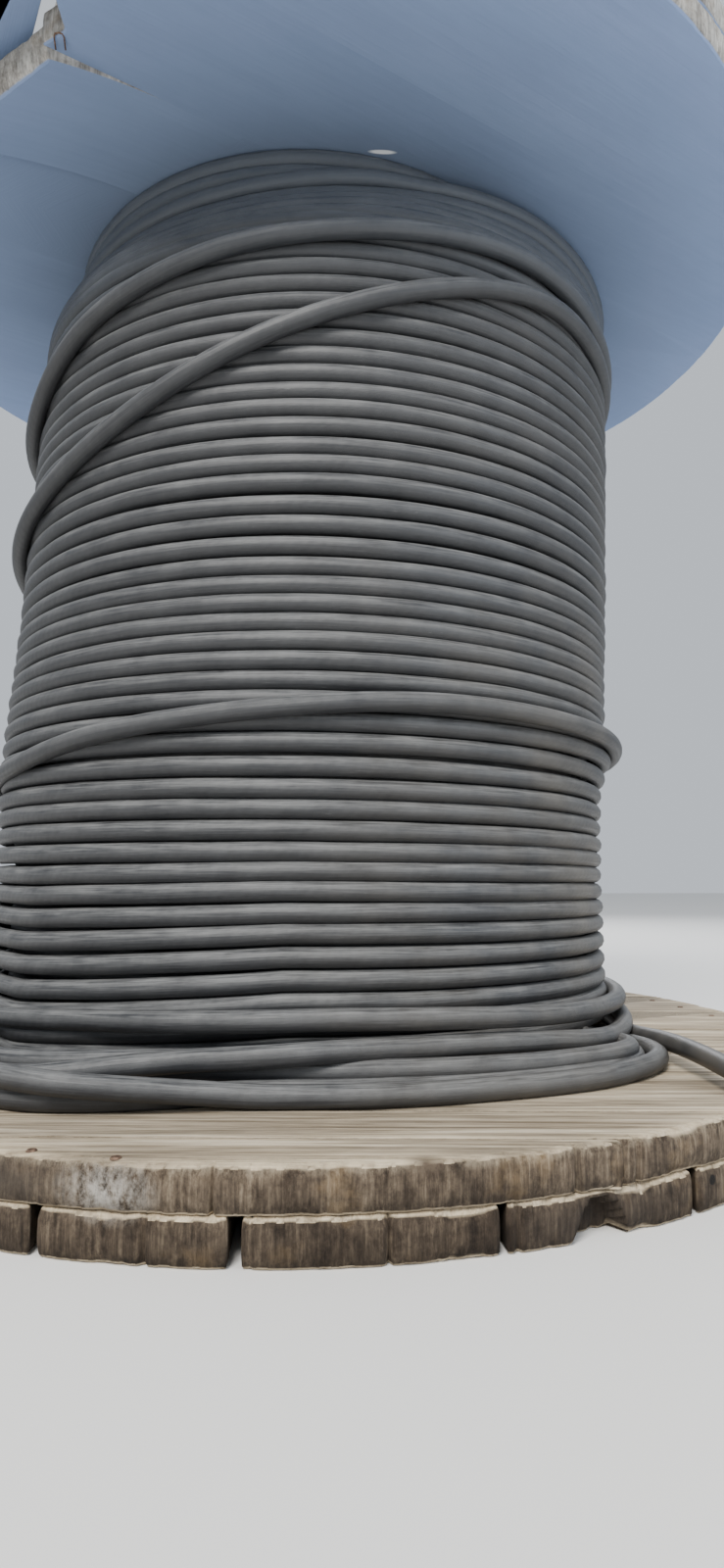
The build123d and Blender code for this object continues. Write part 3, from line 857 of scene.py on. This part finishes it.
def winding_radius(level):
    """Radius of the outer layer's cable centre at a level."""
    return np.interp(level, [0.10, 0.16, 0.30, 0.40, 0.47, 0.60, 0.76, 0.96, 1.12, 1.18, 1.23],
                     [0.452, 0.448, 0.446, 0.448, 0.449, 0.446, 0.446, 0.445, 0.445, 0.430, 0.438])


def on_winding(azimuth, level, lift=0.0):
    """Points at an azimuth in degrees and a level in metres, lifted off the outer layer."""
    right, back = winding_centre(level)
    radius = winding_radius(level) + lift
    angle = np.radians(azimuth)
    return np.stack([right + radius * np.cos(angle), back + radius * np.sin(angle), level + 0 * angle], -1)


def off_barrel(path, least):
    """Keep a path of points at least so far from the drum's axis, as the barrel does."""
    out = np.hypot(path[:, 0], path[:, 1])
    push = np.clip(least / out, 1, None)
    return np.column_stack([path[:, 0] * push, path[:, 1] * push, path[:, 2]])


turn_count = len(TURN_LEVELS)
u = np.arange(-TURN_STEPS // 2, (turn_count - 1) * TURN_STEPS) / TURN_STEPS
levels = np.interp(u, np.arange(turn_count), np.array(TURN_LEVELS) / 1000)
round_here = (u * 360 + FRONT + 180) % 360 - 180
left_side = np.clip((-92 - round_here) / 45, 0, 1) * np.clip((round_here + 230) / 60, 0, 1)
low_down = np.clip((0.36 - levels) / 0.17, 0, 1) * left_side
wobble = smooth_noise(u * 0.9, 5) * 0.0012 - 0.028 * low_down
jitter = smooth_noise(u * 0.33, 6) * 0.0014 + 0.014 * low_down
jitter -= np.clip(-u, 0, 1) * 0.05 + np.clip(-0.25 - u, 0, 1) * 0.12
wobble *= np.clip(u / 0.7, 0, 1)
# The last turns sink to the left, and a few in the middle stand out where a slipped turn pulls
sunk = np.interp(round_here, [-180, -125, -113, -103, -94, -87, -70, -55, 120, 180],
                 [0.050, 0.050, 0.048, 0.042, 0.034, 0.027, 0.014, 0.004, 0, 0.050])
wobble -= sunk * np.clip((levels - 1.095) / 0.07, 0, 1)
jitter += 0.011 * np.exp(-((levels - 0.478) / 0.026) ** 2) * np.exp(-((round_here + 22) / 30) ** 2)
helix = off_barrel(on_winding(FRONT + 360 * u, levels + wobble, jitter), OUTER_CLEARANCE)
winding = laid_cable("cable_turns", [helix], 12)
winding.data.materials.clear()
winding.data.materials.append(cable_sheath)
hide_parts("cable_winding")
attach(winding, "root")

# Inner layers
# Behind the outer layer, the next turns in show in the shade. They run from the lower flange
# up to the upper one and close the winding.
v = np.arange(0, INNER_TURNS * INNER_STEPS) / INNER_STEPS
inner_levels = INNER_START + LAID_DIAMETER * v
inner_radius = winding_radius(inner_levels) - INNER_DEPTH
angle = np.radians(FRONT - 360 * v)
right, back = winding_centre(inner_levels)
inner_path = np.stack([right + inner_radius * np.cos(angle), back + inner_radius * np.sin(angle),
                       np.minimum(inner_levels, UNDER_FLANGE)], -1)
inner_path = off_barrel(inner_path[inner_levels < INNER_END], INNER_CLEARANCE)
inner_layer = laid_cable("inner_turns", [inner_path], 10)
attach(inner_layer, "root")


def spread_path(rows):
    """A smooth path over the winding through rows of azimuth in degrees, level and lift in mm."""
    azimuths, levels, lifts = np.array(rows).T
    fine = np.arange(azimuths[0], azimuths[-1] + AZIMUTH_STEP, AZIMUTH_STEP)
    smooth_levels = np.interp(fine, azimuths, levels / 1000)
    smooth_lifts = np.interp(fine, azimuths, lifts / 1000)
    kernel = np.ones(7) / 7
    for _ in range(2):
        smooth_levels[3:-3] = np.convolve(smooth_levels, kernel, "valid")
        smooth_lifts[3:-3] = np.convolve(smooth_lifts, kernel, "valid")
    return on_winding(fine, smooth_levels, smooth_lifts)


# Stray turns
# Three turns that have slipped across the rest: one crosses the upper turns from the top
# right down to the left, one stands loose above it, and one wanders across the middle.
crossing = spread_path([
    (-250, 700, 0), (-220, 720, 10), (-190, 745, 18), (-161, 776, 22), (-147, 800, 22),
    (-133, 830, 22), (-120, 868, 22), (-109, 907, 22), (-98, 945, 22), (-83, 989, 22),
    (-76, 1010, 22), (-66, 1033, 22), (-58, 1050, 22), (-50, 1060, 20), (-42, 1058, 16),
    (-20, 1050, 8), (10, 1045, 2), (40, 1040, -4)])
loose = spread_path([
    (-240, 950, 0), (-200, 945, 10), (-175, 945, 18), (-150, 965, 22), (-146, 995, 22),
    (-139, 1012, 22), (-132, 1024, 22), (-125, 1034, 22), (-118, 1044, 22), (-111, 1055, 22),
    (-103, 1063, 22), (-96, 1068, 22), (-89, 1073, 22), (-82, 1080, 22), (-74, 1086, 22),
    (-66, 1093, 21), (-56, 1100, 20), (-45, 1096, 18), (-34, 1084, 14), (-10, 1075, 8),
    (20, 1070, 2), (60, 1068, -4)])
middle = spread_path([
    (-200, 425, -4), (-175, 430, 6), (-153, 437, 14), (-140, 446, 16), (-133, 456, 18),
    (-122, 471, 18), (-113, 477, 18), (-106, 482, 18), (-96, 490, 18), (-86, 497, 18),
    (-77, 502, 18), (-68, 503, 18), (-57, 501, 20), (-41, 497, 26), (-26, 492, 28), (-10, 482, 24),
    (15, 478, 10), (45, 478, -4)])
strays = laid_cable("stray_cables", [crossing, loose, middle], 16)
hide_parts("stray_turns")
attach(strays, "root")


# Slumped turns
# The lowest turns have slid off the winding and lie on the lower flange in wide loops that
# curl back in at the right.
def plan_path(rows):
    """A smooth path through rows of azimuth in degrees, radius and level in mm."""
    curve = bpy.data.curves.new("route", "CURVE")
    curve.dimensions = "3D"
    curve.resolution_u = 14
    spline = curve.splines.new("NURBS")
    spline.points.add(len(rows) - 1)
    for (azimuth, radius, level), point in zip(rows, spline.points):
        turn = math.radians(azimuth)
        point.co = (radius / 1000 * math.cos(turn), radius / 1000 * math.sin(turn), level / 1000, 1)
    spline.order_u = 4
    spline.use_endpoint_u = True
    carrier = bpy.data.objects.new("route", curve)
    mesh = bpy.data.meshes.new_from_object(carrier)
    path = np.array([v.co for v in mesh.vertices])
    bpy.data.objects.remove(carrier)
    bpy.data.meshes.remove(mesh)
    return path


outer_loop = plan_path([
    (-233, 440, 108), (-226, 468, 110), (-210, 497, 112), (-190, 523, 114), (-170, 546, 115),
    (-150, 568, 115), (-135, 596, 115), (-120, 610, 115), (-113, 600, 111), (-107.6, 572, 105),
    (-102, 545, 98), (-96, 534, 93), (-91, 530, 92), (-84, 534, 92), (-77, 538, 92), (-70, 540, 92),
    (-63, 549, 92), (-57, 557, 92), (-52, 560, 92), (-47, 560, 92), (-43, 556, 92),
    (-39.5, 545, 92), (-36.5, 526, 92), (-34.2, 503, 92), (-33, 478, 92), (-31.5, 455, 92),
    (-29, 430, 92)])
low_loop = plan_path([
    (-233, 440, 92), (-226, 468, 92), (-210, 495, 92), (-190, 520, 92), (-170, 540, 92),
    (-150, 562, 92), (-135, 590, 92), (-120, 602, 92), (-114, 580, 92), (-108, 556, 92),
    (-102, 528, 92), (-96, 510, 92), (-91, 507, 92), (-84, 511, 92), (-77, 514, 92), (-70, 517, 92),
    (-63, 526, 92), (-57, 535, 92), (-52, 537, 92), (-47, 536, 92), (-43, 529, 92), (-40, 515, 92),
    (-38, 494, 92), (-36.5, 470, 92), (-35, 440, 92)])
middle_loop = plan_path([
    (-165, 450, 92), (-150, 500, 92), (-130, 535, 94), (-118, 525, 97), (-110, 502, 104),
    (-103, 490, 107), (-96, 492, 108), (-91, 494, 108), (-84, 499, 108), (-76, 505, 108),
    (-68, 513, 107), (-60, 522, 106), (-54, 529, 106), (-49, 533, 105), (-45, 530, 104),
    (-42.5, 518, 104), (-41, 498, 104), (-40.2, 470, 104), (-39, 440, 104)])
rising_loop = plan_path([
    (-205, 440, 112), (-195, 475, 112), (-180, 502, 112), (-160, 532, 112), (-140, 562, 112),
    (-128, 578, 106), (-121, 578, 106), (-117, 557, 110), (-111, 524, 115), (-104, 510, 121),
    (-96, 519, 127), (-91, 512, 129), (-84, 492, 128), (-75, 490, 128), (-67, 492, 127),
    (-57, 495, 122), (-50, 500, 117), (-44, 498, 113), (-38, 490, 111), (-30, 480, 110),
    (-20, 472, 110), (-5, 465, 115), (15, 460, 120), (35, 450, 122), (50, 430, 124)])
tucked_loop = plan_path([
    (-205, 430, 118), (-190, 462, 118), (-175, 485, 116), (-160, 508, 115), (-140, 540, 112),
    (-127, 554, 112), (-119, 534, 115), (-112, 511, 117), (-104, 495, 118), (-96, 480, 118),
    (-86, 462, 118), (-76, 440, 118)])
proud_turn = plan_path([
    (-200, 430, 140), (-185, 462, 140), (-165, 485, 138), (-150, 492, 137), (-140, 492, 138),
    (-126, 480, 146), (-114, 485, 152), (-104, 493, 156), (-97, 497, 158), (-88, 488, 159),
    (-80, 492, 158), (-68, 497, 155), (-58, 492, 150), (-48, 485, 146), (-35, 476, 142),
    (-20, 469, 140), (0, 464, 140), (25, 458, 142), (45, 435, 144)])
slump = laid_cable("slumped_turns", [outer_loop, low_loop, middle_loop, rising_loop, tucked_loop, proud_turn],
                   16, LOOSE_DIAMETER)
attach(slump, "root")


# Cable tail
# The free end of the cable. It leaves the lowest turn at the right, runs forward over the
# slumped turns, a little above the flange, and ends cut off near the rim.
TAIL_ROUTE = [(0.4625, 0.0200, 0.0920), (0.4520, -0.0930, 0.0920), (0.4270, -0.2050, 0.0940),
              (0.4440, -0.3650, 0.1080), (0.4400, -0.5050, 0.1040)]
tail_curve = bpy.data.curves.new("cable_tail_sheath", "CURVE")
tail_curve.dimensions = "3D"
tail_curve.bevel_depth = CABLE_DIAMETER / 2
tail_curve.bevel_resolution = 6
tail_curve.resolution_u = 16
tail_curve.use_fill_caps = True
tail_spline = tail_curve.splines.new("NURBS")
tail_spline.points.add(len(TAIL_ROUTE) - 1)
for spline_point, place in zip(tail_spline.points, TAIL_ROUTE):
    spline_point.co = (*place, 1)
tail_spline.order_u = 3
tail_spline.use_endpoint_u = True
tail = new_object("cable_tail_sheath", tail_curve)
tail_curve.materials.append(cable_sheath)
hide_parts("cable_tail")
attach(tail, "root")
